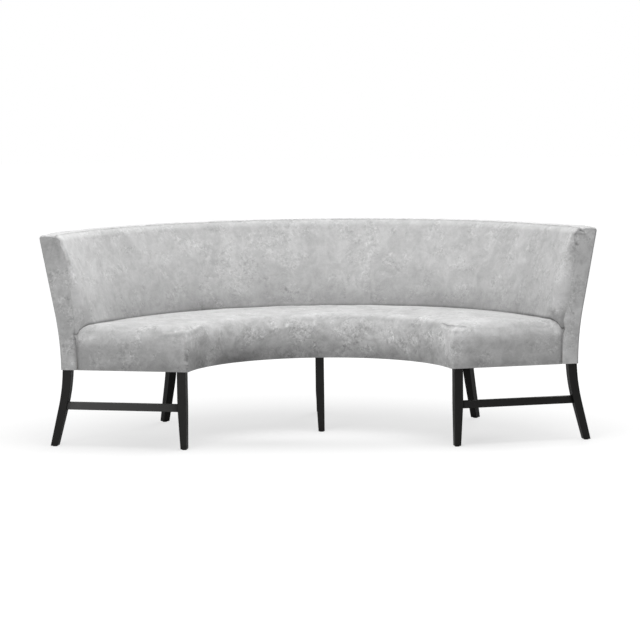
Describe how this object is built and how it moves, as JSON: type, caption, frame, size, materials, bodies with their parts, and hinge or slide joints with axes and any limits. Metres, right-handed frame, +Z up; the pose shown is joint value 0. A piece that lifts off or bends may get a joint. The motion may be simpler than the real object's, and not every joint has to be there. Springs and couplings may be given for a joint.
{
  "type": "curved upholstered banquette bench",
  "caption": "Curved upholstered bench seat with a high wrap-round back on tapered dark wooden legs with stretchers, for sitting round a table.",
  "frame": {"origin": "on the floor, under the middle of the bench's box", "axes": "+X along the bench to the sitter's left as seen from the front (right in the picture), +Y from the open front of the curve towards the back, +Z up"},
  "size_m": [2.1304, 0.9754, 0.815],
  "materials": {
    "grey_velvet": "light grey crushed velvet, mottled, matt with a soft sheen",
    "black_wood": "black satin lacquer on hardwood",
    "frame_timber": "planed hardwood, unfinished",
    "bendy_plywood": "thin bendy plywood, unfinished",
    "back_board": "hardboard, smooth brown face",
    "foam": "cut upholstery foam",
    "strap_webbing": "elastic webbing",
    "dust_cloth": "thin black non-woven cloth",
    "screw_steel": "zinc plated",
    "glide_nylon": "black nylon"
  },
  "bodies": {
    "root": {"front_leg_left": "black_wood", "front_leg_centre": "black_wood", "front_leg_right": "black_wood", "rear_leg_end_left": "black_wood", "rear_leg_mid_left": "black_wood", "rear_leg_centre": "black_wood", "rear_leg_mid_right": "black_wood", "rear_leg_end_right": "black_wood", "stretcher_left": "black_wood", "stretcher_centre": "black_wood", "stretcher_right": "black_wood", "front_rail_left": "frame_timber", "front_rail_right": "frame_timber", "rear_rail_outer_left": "frame_timber", "rear_rail_inner_left": "frame_timber", "rear_rail_inner_right": "frame_timber", "rear_rail_outer_right": "frame_timber", "end_rail_left": "frame_timber", "end_rail_right": "frame_timber", "cross_rail_left": "frame_timber", "cross_rail_centre": "frame_timber", "cross_rail_right": "frame_timber", "back_rail_outer_left": "frame_timber", "back_rail_inner_left": "frame_timber", "back_rail_inner_right": "frame_timber", "back_rail_outer_right": "frame_timber", "top_rail_outer_left": "frame_timber", "top_rail_inner_left": "frame_timber", "top_rail_inner_right": "frame_timber", "top_rail_outer_right": "frame_timber", "corner_blocks": "frame_timber", "block_screws": "screw_steel", "glides": "glide_nylon", "seat_straps": "strap_webbing", "seat_foam": "foam", "seat_cover": "grey_velvet", "inner_panel_left": "bendy_plywood", "inner_panel_right": "bendy_plywood", "outer_board_left": "back_board", "outer_board_right": "back_board", "back_foam": "foam", "inside_back_cover": "grey_velvet", "back_end_panel_left": "grey_velvet", "back_end_panel_right": "grey_velvet", "back_top_band": "grey_velvet", "outside_back_cover": "grey_velvet", "dust_cover": "dust_cloth"}
  },
  "joints": []
}
